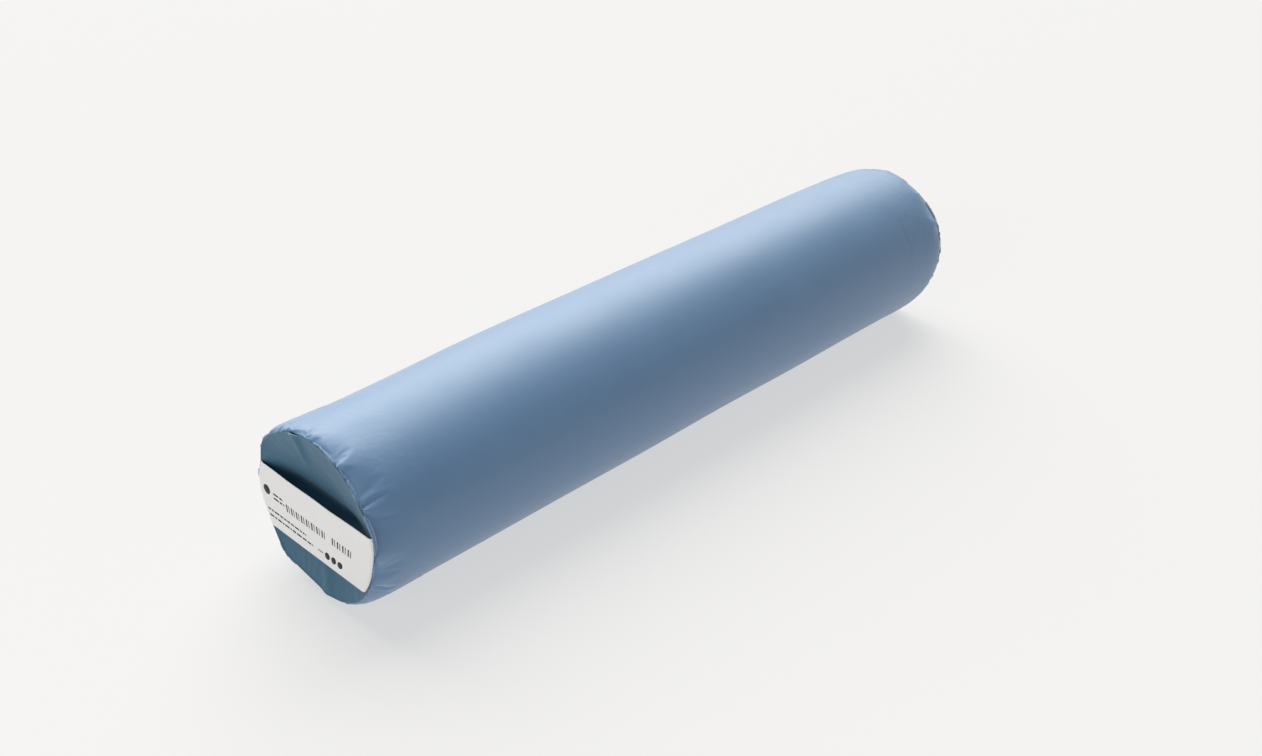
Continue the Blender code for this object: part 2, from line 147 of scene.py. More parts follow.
def add_node(tree, kind, settings=None, **inputs):
    """A node with its settings, and its inputs set to values or linked to sockets."""
    made = tree.nodes.new(kind)
    for name, value in (settings or {}).items():
        setattr(made, name, value)
    for name, value in inputs.items():
        key = int(name[1:]) if name[1:].isdigit() else name.replace("_", " ")
        if isinstance(value, bpy.types.NodeSocket):
            tree.links.new(value, made.inputs[key])
        else:
            made.inputs[key].default_value = value
    return made


def new_material(name, **shader_values):
    """A material with a Principled shader, and its node tree and shader."""
    made = bpy.data.materials.new(name)
    made.use_nodes = True
    shader = made.node_tree.nodes["Principled BSDF"]
    for key, value in shader_values.items():
        shader.inputs[key.replace("_", " ")].default_value = value
    return made, made.node_tree, shader

# %% [markdown]
# ## Stage and light
#
# The floor is a plain pale acrylic sheet, lit from below as on a product table, so its shadows
# stay faint. The key light is a sun with a wide disc, which acts like a very large soft box a long way
# off. It stands high behind the roll, so the top of the roll shines and the near side stays in shade. A
# weak round soft box beside the near end lifts the label, and the sky fills the rest.

# %% The floor
FLOOR_SIZE = 12.0
FLOOR_GLOW = 0.59  # from below
floor_mesh = bpy.data.meshes.new("floor")
half = FLOOR_SIZE / 2
floor_corners = [(-half, -half, 0), (half, -half, 0), (half, half, 0), (-half, half, 0)]
floor_mesh.from_pydata(floor_corners, [], [(0, 1, 2, 3)])
floor = bpy.data.objects.new("floor", floor_mesh)
bpy.context.scene.collection.objects.link(floor)
acrylic, _, _ = new_material(
    "opal_acrylic_sheet", Base_Color=linear("#7E7E7E"), Roughness=0.9, Specular_IOR_Level=0.1,
    Emission_Color=linear("#FFFFFF"), Emission_Strength=FLOOR_GLOW,
)
floor_mesh.materials.append(acrylic)


# %% The lights
def add_light(name, kind, place, target, **settings):
    """A light at a place that shines at a target."""
    made = bpy.data.objects.new(name, bpy.data.lights.new(name, kind))
    for setting, value in settings.items():
        setattr(made.data, setting, value)
    made.location = place
    made.rotation_mode = "QUATERNION"
    made.rotation_quaternion = (target - place).to_track_quat("-Z", "Y")
    bpy.context.scene.collection.objects.link(made)
    return made


MIDDLE, NEAR_END = Vector((0, 0, AXIS)), Vector((-END, 0, AXIS))
KEY_FROM = Vector((0.36, 0.60, 0.78))
KEY_COLOUR = (1, 0.96, 0.9)  # a little warm
add_light(
    "key_light", "SUN", MIDDLE + KEY_FROM, MIDDLE, energy=4.8, angle=math.radians(70), color=KEY_COLOUR
)
FILL_FROM = Vector((-1.15, -0.15, 0.4))
add_light("fill_light", "AREA", NEAR_END + FILL_FROM, NEAR_END, shape="DISK", size=0.8, energy=4.2)
world = bpy.data.worlds.new("sky")
bpy.context.scene.world = world
world.use_nodes = True
world.node_tree.nodes["Background"].inputs["Color"].default_value = linear("#F3F6FA")
world.node_tree.nodes["Background"].inputs["Strength"].default_value = 0.3
bpy.context.scene.view_settings.view_transform = "Standard"
print("key light from", [round(c, 2) for c in KEY_FROM.normalized()])

# %% [markdown]
# ## Mesh tools
#
# A sewn roll is a grid at heart: rows along its length and columns round it. One function turns such a
# grid of points into a mesh, closed round the roll or open, and leaves out the faces of an opening.

# %% Grids to meshes
def link_mesh(name, points, faces, material=None):
    """An object with a smooth-shaded mesh, in the scene."""
    mesh = bpy.data.meshes.new(name)
    mesh.from_pydata([tuple(map(float, p)) for p in points], [], faces)
    mesh.validate()
    mesh.shade_smooth()
    made = bpy.data.objects.new(name, mesh)
    bpy.context.scene.collection.objects.link(made)
    if material:
        mesh.materials.append(material)
    return made


def grid_faces(rows, columns, around=True, flip=False, skip=None):
    """The quads of a grid of points, whose columns may close round the roll."""
    faces = []
    for row in range(rows - 1):
        for column in range(columns if around else columns - 1):
            if skip is not None and skip[row, column]:
                continue
            after = (column + 1) % columns
            ring, next_ring = row * columns, (row + 1) * columns
            face = (ring + column, ring + after, next_ring + after, next_ring + column)
            faces.append(face[::-1] if flip else face)
    return faces


def with_modifier(piece, kind, **settings):
    """Adds a modifier and applies it, so that the piece's own mesh is the final one."""
    modifier = piece.modifiers.new(kind.lower(), kind)
    for name, value in settings.items():
        setattr(modifier, name, value)
    evaluated = piece.evaluated_get(bpy.context.evaluated_depsgraph_get())
    final = bpy.data.meshes.new_from_object(evaluated)
    piece.modifiers.remove(modifier)
    piece.data = final
    return piece

# %% [markdown]
# ## The shape that the foam gives
#
# The fabric follows a round section that its own weight presses flat below, and it curves in to each end
# seam over a short shoulder. The seam is no perfect circle: past the end of the foam the rim is only
# fabric, so it sags and bulges a little. Each of those places is one line: where it is, how wide it is
# and how deep. The foam's end is worn and soft over its top and back at the label, so the roll gets
# slowly thinner towards that corner.

# %% The section and the rims
SHOULDER = 9.0 * MM
SEAM_X = END - 0.4 * MM
RIM = 42.5 * MM
PRESS_SOFTNESS = 0.5 * MM
LABEL_RIM_BUMPS = [(82, 12, -1.2), (166, 15, 2.4), (211, 12, -0.5), (279, 22, -3.2)]
LABEL_RIM_BUMPS += [(307, 8, 2.0), (337, 15, -1.6), (15, 9, -1.4), (34, 9, 0.9), (58, 12, -1.2)]
PLAIN_RIM_BUMPS = [(60, 22, -0.9), (110, 16, -0.4), (158, 24, 1.4)]
PLAIN_RIM_BUMPS += [(225, 14, -0.6), (270, 30, -1.6), (330, 18, 0.6)]


def rim_radius(angles, bumps):
    """The seam's distance from the axis, from bumps given as place and spread in degrees and height in mm."""
    radius = np.full_like(angles, RIM)
    for place, spread, height in bumps:
        away = (np.degrees(angles) - place + 180) % 360 - 180
        radius = radius + height * MM * np.exp(-((away / spread) ** 2))
    return radius


# end, length in mm, place in degrees, spread to both sides in degrees, depth in mm
TAPERS = [(-1, 75, 52, 13, 48, 4.2), (1, 26, 72, 30, 40, 1.8)]


def taper(x, angles):
    """How much thinner the roll is near its worn corners."""
    total = 0
    for end, length, place, before, after, depth in TAPERS:
        away = (np.degrees(angles) - place + 180) % 360 - 180
        spread = np.where(away < 0, before, after)
        fade = ((x - end * END) / (length * MM)) ** 2 + (away / spread) ** 2
        total = total + depth * MM * np.exp(-fade)
    return total


def on_section(x, radius, angles):
    """Points round the axis, pressed flat where they would go under the floor."""
    height = AXIS + radius * np.sin(angles)
    pressed = PRESS_SOFTNESS * np.logaddexp(0, height / PRESS_SOFTNESS)
    return np.stack(np.broadcast_arrays(x, radius * np.cos(angles), pressed), axis=-1)

# %% [markdown]
# ## Cloth: letting the fabric settle
#
# Puckers come from sewing a longer edge to a shorter one. So the cloth starts as the plain shape it was
# cut to, and its held points are then drawn in to the sewn shape, as the thread draws a seam in. The
# spare fabric has to go somewhere and buckles into folds by itself, while a little pressure stands for
# the foam below. Blender's cloth is tuned for metres and not for millimetres, so the patch is twenty
# times as large while it settles.

# %% The simulation
CLOTH_SCALE = 20.0
UNEVENNESS = 0.05 * MM  # of the cut shape, to start the folds
SEWN_BY = 14  # the frame at which the seam is fully drawn in
SETTLED_BY = 24


def settle(cut, sewn, faces, held, pressure, tension=25.0, bending=0.8):
    """Draws a patch's held points in from its cut shape to its sewn one, and returns the settled points."""
    patch = link_mesh("patch", cut.reshape(-1, 3) * CLOTH_SCALE, faces)
    patch.shape_key_add(name="cut")
    drawn = patch.shape_key_add(name="sewn")
    drawn.data.foreach_set("co", (sewn.reshape(-1, 3) * CLOTH_SCALE).astype(np.float32).ravel())
    for frame_number, value in ((1, 0.0), (SEWN_BY, 1.0)):
        drawn.value = value
        drawn.keyframe_insert("value", frame=frame_number)
    pins = patch.vertex_groups.new(name="pins")
    pins.add([int(i) for i in np.flatnonzero(held.ravel())], 1.0, "REPLACE")
    cloth = patch.modifiers.new("cloth", "CLOTH")
    settings = cloth.settings
    settings.vertex_group_mass = "pins"
    settings.quality, settings.mass = 6, 0.25
    settings.tension_stiffness = settings.compression_stiffness = tension
    settings.shear_stiffness, settings.bending_stiffness = tension * 0.3, bending
    settings.use_pressure, settings.uniform_pressure_force = True, pressure
    settings.effector_weights.gravity = 0.0
    cloth.collision_settings.use_collision = False
    cloth.point_cache.frame_start, cloth.point_cache.frame_end = 1, SETTLED_BY
    for frame_number in range(1, SETTLED_BY + 1):
        bpy.context.scene.frame_set(frame_number)
    evaluated = patch.evaluated_get(bpy.context.evaluated_depsgraph_get())
    settled = np.zeros(len(patch.data.vertices) * 3, np.float32)
    evaluated.data.vertices.foreach_get("co", settled)
    bpy.context.scene.frame_set(1)
    bpy.data.objects.remove(patch)
    moved = settled.reshape(sewn.shape) / CLOTH_SCALE
    furthest = np.abs(moved - sewn).max()
    print(f"settled {len(moved.reshape(-1, 3))} points, at most {furthest / MM:.1f} mm off the sewn shape")
    return moved

# %% [markdown]
# ## The cover's tube
#
# The tube is one panel wrapped round the foam. It gets a column for each degree, with close rows near the
# seams, where the folds are, and wide rows along the smooth middle. Only the two ends are simulated. At a
# few places a good deal of fabric was gathered into a few stitches, which makes the deep pleats, and the
# rest varies at random.

# %% The tube's grid
COLUMNS = 360
columns = ZIP_TURN + (np.arange(COLUMNS) + 0.5) * math.tau / COLUMNS
patch_rows = np.concatenate([[0, 0.45, 0.95, 1.6, 2.4], 3.4 + 1.1 * np.arange(31)]) * MM
STITCHES = 120  # round each end seam
PULLED_IN = 0.14 * MM  # by each stitch
SEAM_EASE = 1.055  # how much longer the fabric's edge is than the seam it is gathered into
GATHER_REACH, SEAM_REACH, STITCH_REACH = 9 * MM, 7 * MM, 1.6 * MM  # how far in from the seam each one shows
TUCK = 1.4 * MM, 1.0 * MM  # where the edge is turned in behind the seam: in from it, and nearer the axis


def shoulder_point(along, rim):
    """The fabric's own path out of the seam: how far in from the seam it is, and how far from the axis."""
    arc = np.clip(along / (SHOULDER * 1.1), 0, 1)
    turn = np.arcsin(arc)
    inward = np.where(arc < 1, SHOULDER * (1 - np.cos(turn)), SHOULDER + along - SHOULDER * 1.1)
    return inward, rim + (RADIUS - rim) * np.sin(turn) ** 0.9


def gathers(places, count):
    """How far each column is drawn sideways at the seam: to each pleat, and a little at random."""
    drawn = np.zeros(COLUMNS)
    chosen = [(math.radians(place), math.radians(spread), pull) for place, spread, pull in places]
    for _ in range(count):
        chosen.append((rng.uniform(0, math.tau), math.radians(rng.uniform(1.5, 4.5)), rng.uniform(0.05, 0.3)))
    for place, spread, pull in chosen:
        away = (columns - place + math.pi) % math.tau - math.pi
        drawn -= pull * away * np.exp(-((away / spread) ** 2))
    return drawn


def make_tube_end(side, bumps, pleats, count):
    """One end of the tube, from the seam inwards, settled as cloth."""
    along = patch_rows[:, None]
    fade = np.exp(-((along / GATHER_REACH) ** 2))
    angles = columns[None, :] + gathers(pleats, count)[None, :] * fade
    inward, radius = shoulder_point(along, rim_radius(angles, bumps))
    at_seam = np.exp(-((along / SEAM_REACH) ** 2))
    over_foam = 1 - at_seam
    radius = radius - taper(side * (SEAM_X - inward), angles) * over_foam
    sewn = on_section(side * (SEAM_X - inward), radius, angles)
    uneven = rng.normal(size=angles.shape) * UNEVENNESS
    cut_radius = RADIUS - taper(side * (SEAM_X - along), columns[None, :]) * over_foam + uneven
    cut_radius = cut_radius - (RADIUS - RIM * SEAM_EASE) * at_seam
    cut = on_section(side * (SEAM_X - along), cut_radius, columns[None, :])
    held = np.zeros(angles.shape, bool)
    held[0] = True
    held[-2:] = True
    faces = grid_faces(len(patch_rows), COLUMNS, flip=side > 0)
    sewn = settle(cut, sewn, faces, held, pressure=1.2)
    ripple = PULLED_IN * np.cos(columns * STITCHES)[None, :] * np.exp(-((along / STITCH_REACH) ** 2))
    sewn[..., 1] += ripple * np.cos(columns)
    sewn[..., 2] += ripple * np.sin(columns)
    tucked_in, tucked_down = TUCK
    tucked = on_section(side * (SEAM_X - tucked_in), rim_radius(columns, bumps) - tucked_down, columns)
    return np.concatenate([tucked[None], sewn])

# %% Both ends
LABEL_PLEATS = [(119, 4.0, 0.75), (147, 4.5, 0.8), (178, 5, 0.5), (92, 4, 0.4), (201, 5, 0.5)]
PLAIN_PLEATS = [(150, 4.0, 0.7), (157, 3.0, 0.7), (70, 4.5, 0.5), (210, 4, 0.6), (20, 4, 0.5)]
label_end = make_tube_end(-1, LABEL_RIM_BUMPS, LABEL_PLEATS, 60)
plain_end = make_tube_end(1, PLAIN_RIM_BUMPS, PLAIN_PLEATS, 60)

# %% [markdown]
# ## The opening, its hem and the closing seam
#
# Along the zip the fabric's edge is turned under, so it is thicker and rounded there, and the stitching
# pulls a shallow line into it. Beyond the zip the two edges are sewn together, which leaves a small
# groove. Such detail needs closer columns than the rest of the roll, so new ones are put in between, at
# chosen distances from the zip's middle. The foam is soft and hand-cut, so the long middle also waves a
# little.

# %% Rows and columns
HEM_COLUMNS = np.array([5.5, 5.6, 5.9, 6.5, 7.1, 7.5, 7.9, 8.5, 9.3]) * MM
SEAM_COLUMNS = np.array([0.35, 0.8, 1.4, 2.4, 3.6, 4.6]) * MM
close = np.concatenate([HEM_COLUMNS, SEAM_COLUMNS])
even = (np.arange(COLUMNS) + 0.5) * math.tau / COLUMNS - math.pi
even = even[np.abs(even) * RADIUS > close.max() + 0.5 * MM]
turns = np.sort(np.concatenate([even, close / RADIUS, -close / RADIUS, [0.0]]))
fine_columns = ZIP_TURN + turns
END_ROWS = OPENING_END + np.array([-1, -0.4, 0, 0.4, 1.2]) * MM
half_rows = np.concatenate([np.linspace(0, OPENING_END - 3 * MM, 36), END_ROWS])
middle_x = np.concatenate([-half_rows[:0:-1], half_rows])
print(len(fine_columns), "columns,", len(middle_x), "rows between the ends")

# %% The tube's surface
# from the zip's middle, and above the roll, both in mm: the turned edge, then the line of stitches
HEM_PROFILE = [(5.5, -0.4), (5.6, -0.18), (5.9, 0), (6.5, 0.16), (7.1, 0.06)]
HEM_PROFILE += [(7.5, -0.16), (7.9, 0.04), (8.5, 0.12), (9.8, 0)]
GROOVE_DEPTH, GROOVE_WIDTH = 0.55 * MM, 0.5 * MM
GROOVE_SIDES = 0.3, 1.7 * MM, 1.1 * MM  # the swell on both sides of the groove: share, place and width
BODY_WAVES, WAVE_COUNT = 0.22 * MM, 14
HEM_FADE = 1.2 * MM


def at_columns(grid, angles):
    """A grid's points at any angles, in between its own columns."""
    place = (angles - columns[0]) / math.tau * COLUMNS % COLUMNS
    before = place.astype(int) % COLUMNS
    share = (place - np.floor(place))[None, :, None]
    return grid[:, before] * (1 - share) + grid[:, (before + 1) % COLUMNS] * share


def raise_surface(points, down, amount):
    """Moves points out from the roll's axis."""
    turn = ZIP_TURN - down / RADIUS
    return points + np.stack([np.zeros_like(amount), amount * np.cos(turn), amount * np.sin(turn)], axis=-1)


middle_radius = RADIUS - taper(middle_x[:, None], fine_columns[None, :])
middle = on_section(middle_x[:, None], middle_radius, fine_columns[None, :])
ends = at_columns(label_end, fine_columns), at_columns(plain_end, fine_columns)
tube = np.concatenate([ends[0], middle, ends[1][::-1]])
down = np.broadcast_to(-turns * RADIUS, tube.shape[:2])
along_roll = tube[..., 0]
beside = np.interp(np.abs(down) / MM, *np.array(HEM_PROFILE).T, left=0, right=0) * MM
in_opening = np.clip((OPENING_END + HEM_FADE - np.abs(along_roll)) / HEM_FADE, 0, 1)
swell, swell_place, swell_width = GROOVE_SIDES
groove = swell * np.exp(-(((np.abs(down) - swell_place) / swell_width) ** 2))
groove -= np.exp(-((down / GROOVE_WIDTH) ** 2))
tube = raise_surface(tube, down, beside * in_opening + groove * GROOVE_DEPTH * (1 - in_opening))
waves = np.zeros(tube.shape[:2])
for _ in range(WAVE_COUNT):
    per_metre, per_turn = rng.uniform(-70, 70), rng.integers(-5, 6)
    height, start = rng.normal(), rng.uniform(0, math.tau)
    waves += height * np.cos(along_roll * per_metre + fine_columns * per_turn + start)
calm = np.clip((END - np.abs(along_roll)) / (30 * MM), 0, 1) * (1 - np.exp(-((down / (16 * MM)) ** 2)))
tube = raise_surface(tube, down, waves * calm * BODY_WAVES / math.sqrt(WAVE_COUNT))
tube[..., 2] = np.maximum(tube[..., 2], 0)
print("tube grid", tube.shape[:2])

# %% [markdown]
# ## Satin-finish woven nylon
#
# The cover is a tightly woven nylon. Its filaments are smooth and nearly parallel, so it has a soft gloss
# that turns almost white where one looks along the surface. Real threads are about 0.15 mm apart, too
# fine to show, so the weave is drawn with threads 0.5 mm apart. The tube and the discs are cut from the
# same fabric, with threads round the roll or across the disc. The discs get darker base colours and less
# gloss: the darker colours are painted shade, for the ends that lie out of the key light.

# %% The fabric's material
FABRIC = 0.5 * MM
THREAD_PITCH = 0.5 * MM  # drawn coarser than the real 0.15 mm
NYLON_BLUE, NYLON_DEEP = "#6188AF", "#567DA5"


def thread_waves(tree, along, across, pitch):
    """Where warp and weft pass over each other, from 0 to 1, for two directions given in metres."""
    turns_per_metre = math.tau / pitch / 2
    waves = []
    for direction in (along, across):
        angle = add_node(tree, "ShaderNodeMath", {"operation": "MULTIPLY"}, i0=direction, i1=turns_per_metre)
        waves.append(add_node(tree, "ShaderNodeMath", {"operation": "SINE"}, i0=angle.outputs[0]))
    over, under = [wave.outputs[0] for wave in waves]
    return add_node(tree, "ShaderNodeMath", {"operation": "MULTIPLY"}, i0=over, i1=under)


def nylon(name, round_the_roll, light, dark, shine):
    """The cover's fabric, with its threads round the roll or straight across an end."""
    made, tree, shader = new_material(
        name, Roughness=0.5, Specular_IOR_Level=0.8 * shine, Sheen_Weight=0.42 * shine, Sheen_Roughness=0.45
    )
    place = add_node(tree, "ShaderNodeTexCoord").outputs["Object"]
    parts = add_node(tree, "ShaderNodeSeparateXYZ", Vector=place)
    if round_the_roll:
        up = add_node(tree, "ShaderNodeMath", {"operation": "SUBTRACT"}, i0=parts.outputs["Z"], i1=AXIS)
        up, back = up.outputs[0], parts.outputs["Y"]
        turn = add_node(tree, "ShaderNodeMath", {"operation": "ARCTAN2"}, i0=up, i1=back)
        arc = add_node(tree, "ShaderNodeMath", {"operation": "MULTIPLY"}, i0=turn.outputs[0], i1=RADIUS)
        directions = parts.outputs["X"], arc.outputs[0]
    else:
        directions = parts.outputs["Y"], parts.outputs["Z"]
    weave = thread_waves(tree, *directions, THREAD_PITCH)
    patches = add_node(tree, "ShaderNodeTexNoise", Vector=place, Scale=22.0, Detail=3.0, Roughness=0.55)
    colour = add_node(tree, "ShaderNodeMix", {"data_type": "RGBA"}, Factor=patches.outputs["Fac"])
    colour.inputs[6].default_value, colour.inputs[7].default_value = linear(dark), linear(light)
    tree.links.new(colour.outputs[2], shader.inputs["Base Color"])
    gloss = add_node(
        tree, "ShaderNodeMapRange",
        Value=patches.outputs["Fac"], From_Min=0.3, From_Max=0.7, To_Min=0.48, To_Max=0.56,
    )
    tree.links.new(gloss.outputs[0], shader.inputs["Roughness"])
    creep = add_node(tree, "ShaderNodeTexNoise", Vector=place, Scale=90.0, Detail=2.0)
    soft = add_node(tree, "ShaderNodeBump", Height=creep.outputs["Fac"], Strength=0.25, Distance=0.4 * MM)
    fine = add_node(
        tree, "ShaderNodeBump",
        Height=weave.outputs[0], Normal=soft.outputs[0], Strength=0.35, Distance=0.03 * MM,
    )
    tree.links.new(fine.outputs[0], shader.inputs["Normal"])
    return made


tube_nylon = nylon("satin_woven_nylon", True, NYLON_BLUE, NYLON_DEEP, shine=1.0)
# painted shade: the discs' base colours are darker than the tube's, for the shade the ends lie in, and they
# shine less
disc_nylon_painted_shade = nylon("satin_woven_nylon_disc_painted_shade", False, "#3D6B84", "#355F79", shine=0.45)

# %% The tube as a piece
next_down = np.roll(down, -1, axis=1)[:-1]
skip = (np.abs(down[:-1]) < OPENING_EDGE) & (np.abs(next_down) < OPENING_EDGE + 0.1 * MM)
skip |= np.abs(next_down) < OPENING_EDGE
skip &= np.abs(along_roll[:-1] + along_roll[1:]) / 2 < OPENING_END
cover = link_mesh("cover_tube", tube.reshape(-1, 3), grid_faces(*tube.shape[:2], skip=skip), tube_nylon)
with_modifier(cover, "SOLIDIFY", thickness=FABRIC, offset=-1)
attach(cover, "root")
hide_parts("cover_body")
print("cover tube:", len(cover.data.polygons), "faces")

# %% [markdown]
# ## The end discs
#
# Each end is a round panel, sewn to the tube all round. The foam is a little shorter than the cover, so
# the panel sinks in until it lies on the foam. It is simulated as well, on a square grid squeezed into a
# circle, because a grid of rings would crowd its threads at the middle. The panel is cut a little large,
# which lets it sink. The soft folds, where the spare fabric lies, are added from a given list.

# %% The disc's grid
DISC_GRID = 57
DISC_SPARE = 1.011  # how much wider the panel is cut than the ring it is sewn into
RIM_INSET = 1.0 * MM  # the disc's edge lies this far inside the cover's
FOAM_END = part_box("foam_core")[1].x
DISC_DEPTH = SEAM_X - FOAM_END - 0.6 * MM
steps = np.linspace(-1, 1, DISC_GRID)
square_y, square_z = np.meshgrid(steps, steps)
disc_y, disc_z = square_y * np.sqrt(1 - square_z**2 / 2), square_z * np.sqrt(1 - square_y**2 / 2)
disc_share, disc_angle = np.hypot(disc_y, disc_z), np.arctan2(disc_z, disc_y)
last = DISC_GRID - 1
bottom, top = np.arange(DISC_GRID), last * DISC_GRID + np.arange(DISC_GRID)
right, left = np.arange(1, last) * DISC_GRID + last, np.arange(1, last) * DISC_GRID
disc_edge = np.concatenate([bottom, right, top[::-1], left[::-1]])  # all the way round
print("disc grid", DISC_GRID, "square, its edge has", len(disc_edge), "points")


# %% A disc as cloth
# the seam allowance folded under the edge: further from the axis, and outwards, both in mm
EDGE_ROLL = [(0.35, 0.42), (0.75, 0.42), (0.95, 0.0), (0.3, -1.6)]
DISC_TOUCH = 0.5 * MM  # how softly the disc comes to lie on the foam


def make_disc(name, side, bumps, folds):
    """An end panel, sunk in between its seam and the foam."""
    rim = rim_radius(disc_angle, bumps) - RIM_INSET
    sewn = on_section(side * (SEAM_X - 2 * MM * (1 - disc_share**2)), disc_share * rim, disc_angle)
    faces = grid_faces(DISC_GRID, DISC_GRID, around=False, flip=side < 0)
    cut = sewn.copy()
    cut[..., 0] = side * SEAM_X + rng.normal(size=rim.shape) * UNEVENNESS
    cut[..., 1:] = (cut[..., 1:] - (0, AXIS)) * DISC_SPARE + (0, AXIS)
    held = np.zeros(DISC_GRID**2, bool)
    held[disc_edge] = True
    sewn = settle(cut, sewn, [face[::-1] for face in faces], held, pressure=2.0, tension=60, bending=0.3)
    depth = SEAM_X - side * sewn[..., 0]
    for start, end, width, height in folds:
        start, run = np.array(start) * MM, (np.array(end) - start) * MM
        away = np.stack([sewn[..., 1], sewn[..., 2] - AXIS], axis=-1) - start
        share = (away @ run) / (run @ run)
        across = np.cross(run, away) / np.linalg.norm(run)
        along_fold = np.exp(-((np.maximum(np.abs(share - 0.45) - 0.3, 0) * 4.5) ** 2))
        depth -= height * MM * np.exp(-((across / (width * MM)) ** 2)) * along_fold
    depth = -np.logaddexp(-depth / DISC_TOUCH, -DISC_DEPTH / DISC_TOUCH) * 0.5 * MM
    sewn[..., 0] = side * (SEAM_X - depth)
    edge = sewn.reshape(-1, 3)[disc_edge] - (0, 0, AXIS)
    reach = np.linalg.norm(edge[:, 1:], axis=1, keepdims=True)
    points, ring, count = [sewn.reshape(-1, 3)], disc_edge, len(disc_edge)
    for further, outwards in EDGE_ROLL:
        scale = 1 + further * MM / reach
        wider = edge * np.hstack([np.ones_like(scale), scale, scale])
        points.append(wider + (side * outwards * MM, 0, AXIS))
        new_ring = np.arange(count) + sum(map(len, points[:-1]))
        for i in range(count):
            j = (i + 1) % count
            face = (ring[j], ring[i], new_ring[i], new_ring[j])
            faces.append(face[::-1] if side < 0 else face)
        ring = new_ring
    # its material carries painted shade: darker base colours than the tube's
    disc = link_mesh(name, np.concatenate(points), faces, disc_nylon_painted_shade)
    with_modifier(disc, "SUBSURF", levels=1)
    with_modifier(disc, "SOLIDIFY", thickness=FABRIC, offset=-1)
    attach(disc, "root")
    print(f"{name}: its middle is {depth[DISC_GRID // 2, DISC_GRID // 2] / MM:.1f} mm deep")
    return disc


# %% Both discs
# each fold's two ends across the disc, how wide it is and how far it stands out, in mm
DISC_FOLDS = [((10.6, 40), (6, 22), 3.0, 2.2), ((-2, 34), (-26, 17), 4.0, 0.7)]
DISC_FOLDS += [((-6, -40), (-2, -26), 3.0, 0.9)]
DISC_FOLDS += [((26, 7.5), (-32, 7.5), 4.0, -3.6)]  # the fabric is drawn in behind the label's top edge
label_disc = make_disc("end_disc_fabric_label", -1, LABEL_RIM_BUMPS, DISC_FOLDS)
plain_disc = make_disc("end_disc_fabric_plain", 1, PLAIN_RIM_BUMPS, [((5, -40), (2, -25), 3.0, 1.0)])
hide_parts("end_disc_label")
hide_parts("end_disc_plain")

# %% [markdown]
# ## The label
#
# The label is a band of woven satin, laid across the end and caught in the seam at both sides. It is
# pulled straight, so it stands clear of the sunken panel and leaves a dark gap above it. Satin threads
# float over several others at a time, which gives it a fine grain along its length. Its long edges are
# folded under.

# %% The band's shape
label_low, label_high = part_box("label_band")
LABEL_BOTTOM, LABEL_TOP = label_low.z - AXIS, label_high.z - AXIS
LABEL_X = -(END + 0.55 * MM)
LABEL_THICK = 0.35 * MM
LABEL_INSET = 0.45 * MM  # its ends lie inside the ring
LABEL_DIVE, DIVE_REACH = 1.5 * MM, 0.9 * MM  # how deep each end goes into the seam, and over what length
BAND_ROWS, BAND_COLUMNS = 23, 91


def ring_half_width(height, back):
    """How far the seam's ring reaches at a height above the axis, towards the back or the front."""
    quarter = math.pi / 2
    angles = np.linspace(-quarter, quarter, 721) + (0 if back else math.pi)
    radius = rim_radius(angles, LABEL_RIM_BUMPS)
    order = np.argsort(radius * np.sin(angles))
    return np.interp(height, (radius * np.sin(angles))[order], (radius * np.cos(angles))[order])


def on_label(share, height):
    """A point of the band: its share of the way from the back edge to the front one, and its height."""
    back = ring_half_width(height, True) - LABEL_INSET
    front = ring_half_width(height, False) + LABEL_INSET
    from_edge = np.minimum(share, 1 - share) * (back - front)
    rise = np.clip((height - LABEL_BOTTOM) / (LABEL_TOP - LABEL_BOTTOM), 0, 1)
    proud = 0.35 * MM * np.sin(share * math.pi) * rise + 0.12 * MM * np.sin(share * 17 + rise * 3) * rise
    into_seam = LABEL_DIVE * np.exp(-((from_edge / DIVE_REACH) ** 2))
    places = LABEL_X - proud + into_seam, back + (front - back) * share, AXIS + height
    return np.stack(np.broadcast_arrays(*places), axis=-1)


# %% Satin, with its folded edges
satin, tree, shader = new_material("white_woven_satin", Roughness=0.55, Sheen_Weight=0.2)
place = add_node(tree, "ShaderNodeTexCoord").outputs["Object"]
parts = add_node(tree, "ShaderNodeSeparateXYZ", Vector=place)
grain = thread_waves(tree, parts.outputs["Y"], parts.outputs["Z"], 0.35 * MM)  # real satin: about 0.12 mm
stretched = add_node(tree, "ShaderNodeMapping", Vector=place, Scale=(400, 400, 3000))
floats = add_node(tree, "ShaderNodeTexNoise", Vector=stretched.outputs[0], Scale=1.0, Detail=2.0)
shade = add_node(tree, "ShaderNodeMix", {"data_type": "RGBA"}, Factor=floats.outputs["Fac"])
shade.inputs[6].default_value, shade.inputs[7].default_value = linear("#E6E5E3"), linear("#F0EFED")
tree.links.new(shade.outputs[2], shader.inputs["Base Color"])
relief = add_node(tree, "ShaderNodeMath", {"operation": "ADD"}, i0=grain.outputs[0], i1=floats.outputs["Fac"])
bump = add_node(tree, "ShaderNodeBump", Height=relief.outputs[0], Strength=0.3, Distance=0.03 * MM)
tree.links.new(bump.outputs[0], shader.inputs["Normal"])

heights = np.linspace(LABEL_BOTTOM, LABEL_TOP, BAND_ROWS)
shares = (1 - np.cos(np.linspace(0, math.pi, BAND_COLUMNS))) / 2  # closest together near the seams
band = on_label(shares[None, :], heights[:, None])
fold = np.exp(-((np.minimum(heights - heights[0], heights[-1] - heights) / (1.2 * MM)) ** 2))
band[..., 0] += 0.18 * MM * fold[:, None] ** 4
band_faces = grid_faces(BAND_ROWS, BAND_COLUMNS, around=False)
label = link_mesh("label_satin_band", band.reshape(-1, 3), band_faces, satin)
with_modifier(label, "SOLIDIFY", thickness=LABEL_THICK, offset=1)
with_modifier(label, "BEVEL", width=0.1 * MM, segments=2)
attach(label, "root")
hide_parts("label_band")

